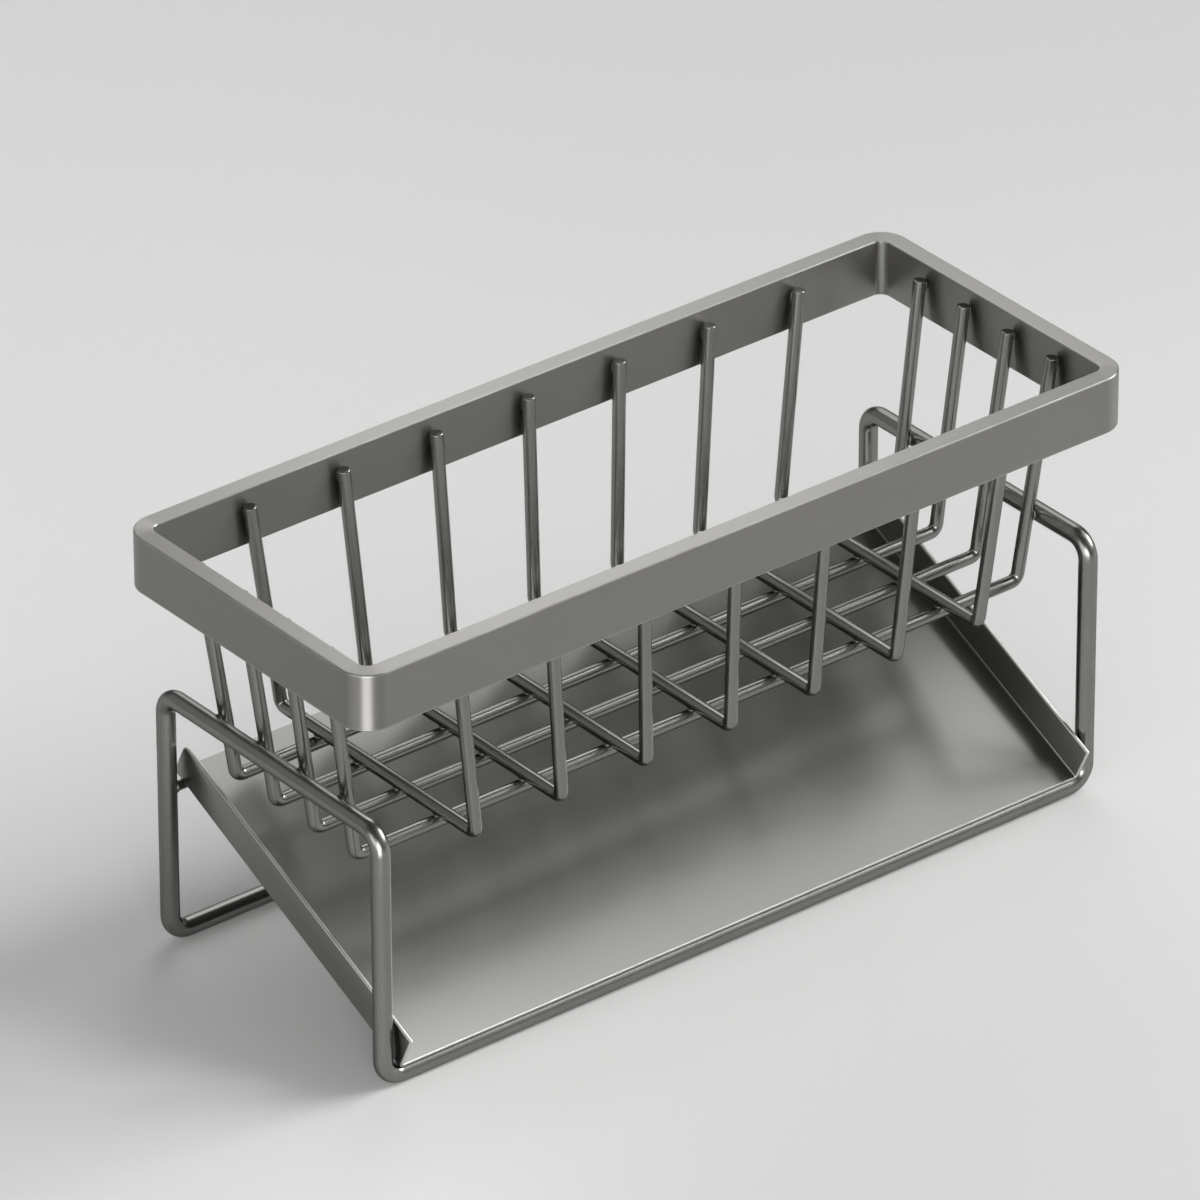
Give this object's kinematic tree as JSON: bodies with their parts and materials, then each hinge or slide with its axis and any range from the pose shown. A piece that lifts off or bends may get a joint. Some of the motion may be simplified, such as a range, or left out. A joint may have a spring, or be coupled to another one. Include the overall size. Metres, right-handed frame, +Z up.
{
  "type": "sink organizer",
  "caption": "Rectangular wire basket under a flat steel rim, carried on a bent rod stand over a sloping drip tray that pulls out at the front, for keeping sponges and brushes beside a sink.",
  "frame": {"origin": "on the counter, under the middle of the rim", "axes": "+X along the long side, to the right as seen from the front; +Y from the front, where the tray drains, to the back; +Z up"},
  "size_m": [0.295, 0.1184, 0.1465],
  "materials": {
    "rim_steel": "satin gunmetal",
    "wire_steel": "satin gunmetal",
    "rod_steel": "semi-gloss gunmetal",
    "tray_steel": "semi-gloss gunmetal sheet"
  },
  "bodies": {
    "frame": {"rim_band": "rim_steel", "cross_wire_1": "wire_steel", "cross_wire_2": "wire_steel", "cross_wire_3": "wire_steel", "cross_wire_4": "wire_steel", "cross_wire_5": "wire_steel", "cross_wire_6": "wire_steel", "cross_wire_7": "wire_steel", "long_wire_1": "wire_steel", "long_wire_2": "wire_steel", "long_wire_3": "wire_steel", "long_wire_4": "wire_steel", "stand_frame": "rod_steel", "tray_rest_rod": "rod_steel"},
    "tray": {"drip_tray": "tray_steel"}
  },
  "joints": [
    {"name": "tray_slide", "type": "slide", "parent": "frame", "child": "tray", "axis": [0, -1, 0], "range_m": [0, 0.12]}
  ]
}
